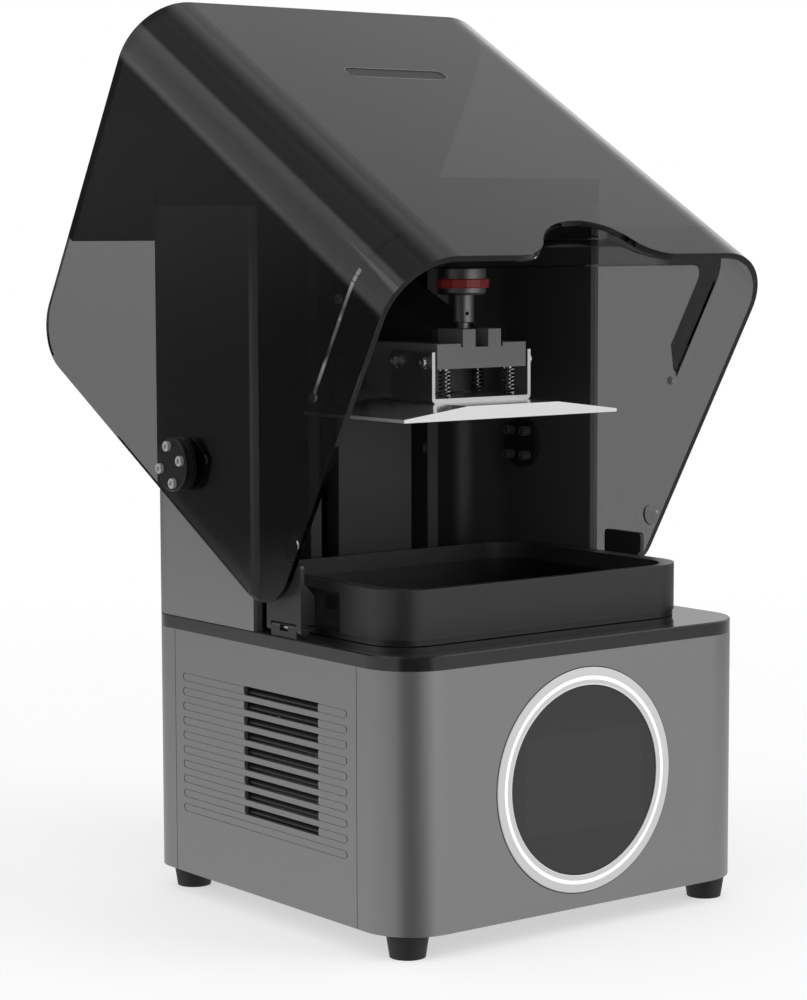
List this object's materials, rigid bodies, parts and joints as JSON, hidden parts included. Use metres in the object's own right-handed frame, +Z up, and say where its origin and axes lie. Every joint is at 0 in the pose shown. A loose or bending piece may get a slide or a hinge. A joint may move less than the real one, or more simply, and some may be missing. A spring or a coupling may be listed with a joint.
{
  "type": "resin printer",
  "caption": "Desktop resin printer with a swing-up smoked hood, a round front screen, a lift with a sprung build plate and a lift-out vat held by side clamps.",
  "frame": {"origin": "on the floor under the middle of the base, in the plane of the feet", "axes": "+Z up, -Y out of the front with the round screen, +X to the right seen from the front"},
  "size_m": [0.3368, 0.4187, 0.6086],
  "materials": {
    "base_grey": "satin powder coat",
    "deck_gloss": "gloss",
    "column_black": "satin black",
    "vat_black": "black anodised",
    "smoked_clear": "smoked clear",
    "badge_black": "gloss",
    "black_plastic": "moulded",
    "board_plastic": "solder mask",
    "bezel_white": "satin",
    "lamp_white": "lit diffuser",
    "dark_glass": "dark gloss",
    "clear_film": "clear",
    "foot_rubber": "matt",
    "seal_rubber": "matt",
    "bare_aluminium": "brushed",
    "bead_blasted": "bead blasted",
    "steel": "bright",
    "nut_brass": "turned",
    "band_red": "gloss red"
  },
  "bodies": {
    "base": {"bottom_pan": "base_grey", "front_shell": "base_grey", "left_side_panel": "base_grey", "right_side_panel": "base_grey", "rear_panel": "base_grey", "rubber_feet": "foot_rubber", "deck_plate": "deck_gloss", "screen_bezel": "bezel_white", "light_ring": "lamp_white", "touch_glass": "dark_glass", "display_module": "black_plastic", "lcd_gasket": "seal_rubber", "lcd_screen": "dark_glass", "light_funnel": "black_plastic", "lamp_board": "board_plastic", "heat_sink": "bare_aluminium", "fan_frame": "black_plastic", "main_board": "board_plastic", "power_supply": "bare_aluminium", "mains_inlet": "black_plastic", "switch_frame": "black_plastic", "data_port": "steel", "column_shell": "base_grey", "column_top_cap": "column_black", "channel_cover": "column_black", "back_plate": "bare_aluminium", "lift_rails": "steel", "lift_motor": "column_black", "top_bearing": "steel", "clamp_feet": "column_black", "clamp_pins": "steel", "hinge_pins": "steel", "hinge_screws": "steel"},
    "hood": {"hood_shell": "smoked_clear", "light_baffle": "smoked_clear", "blank_badge": "badge_black", "hood_magnets": "smoked_clear", "hub_discs": "black_plastic", "hub_screws": "steel"},
    "lift": {"carriage": "bare_aluminium", "lead_nut": "nut_brass", "rail_blocks": "steel", "lift_arm": "column_black"},
    "head": {"head_block": "bead_blasted", "side_screws": "steel", "plate_springs": "steel"},
    "platform": {"u_bracket": "bare_aluminium", "build_plate": "bead_blasted"},
    "knob": {"clamp_knob": "bare_aluminium", "knob_band": "band_red"},
    "screw": {"lead_screw": "steel", "screw_coupler": "bare_aluminium", "motor_shaft": "steel"},
    "vat": {"vat_body": "vat_black", "film_frame": "vat_black", "release_film": "clear_film"},
    "fan": {"fan_rotor": "black_plastic"},
    "rocker": {"switch_rocker": "black_plastic"},
    "clamp_left": {"left_clamp": "column_black"},
    "clamp_right": {"right_clamp": "column_black"}
  },
  "joints": [
    {"name": "hood_hinge", "type": "hinge", "parent": "base", "child": "hood", "pos_m": [0, 0.0873, 0.2974], "axis": [1, 0, 0], "range_deg": [0, 59.78]},
    {"name": "lift_slide", "type": "slide", "parent": "base", "child": "lift", "axis": [0, 0, -1], "range_m": [-0.03, 0.1372]},
    {"name": "screw_turn", "type": "hinge", "parent": "base", "child": "screw", "pos_m": [0, 0.118, 0.33], "axis": [0, 0, 1], "range_deg": [-1360, 6190]},
    {"name": "head_slide", "type": "slide", "parent": "lift", "child": "head", "axis": [0, 1, 0], "range_m": [-0.09, 0]},
    {"name": "plate_float", "type": "slide", "parent": "head", "child": "platform", "axis": [0, 0, 1], "range_m": [0, 0.002], "stiffness_N_per_m": 4000, "springref_m": -0.005, "deforming": ["plate_springs"]},
    {"name": "knob_turn", "type": "hinge", "parent": "lift", "child": "knob", "pos_m": [0, -0.018, 0.4], "axis": [0, 0, 1], "range_deg": [-360, 360]},
    {"name": "vat_lift", "type": "slide", "parent": "base", "child": "vat", "axis": [0, 0, -1], "range_m": [-0.04, 0]},
    {"name": "left_clamp_hinge", "type": "hinge", "parent": "base", "child": "clamp_left", "pos_m": [-0.1451, -0.018, 0.1977], "axis": [0, 1, 0], "range_deg": [-6, 0], "stiffness_Nm_per_rad": 0.6},
    {"name": "right_clamp_hinge", "type": "hinge", "parent": "base", "child": "clamp_right", "pos_m": [0.1451, -0.018, 0.1977], "axis": [0, -1, 0], "range_deg": [-6, 0], "stiffness_Nm_per_rad": 0.6},
    {"name": "switch_rock", "type": "hinge", "parent": "base", "child": "rocker", "pos_m": [0.062, 0.1406, 0.066], "axis": [1, 0, 0], "range_deg": [-16, 0]},
    {"name": "fan_spin", "type": "hinge", "parent": "base", "child": "fan", "pos_m": [-0.075, 0.128, 0.116], "axis": [0, 1, 0], "continuous": true}
  ],
  "couplings": [
    {"joint": "screw_turn", "follows": "lift_slide", "rad_per_m": 785.4}
  ]
}
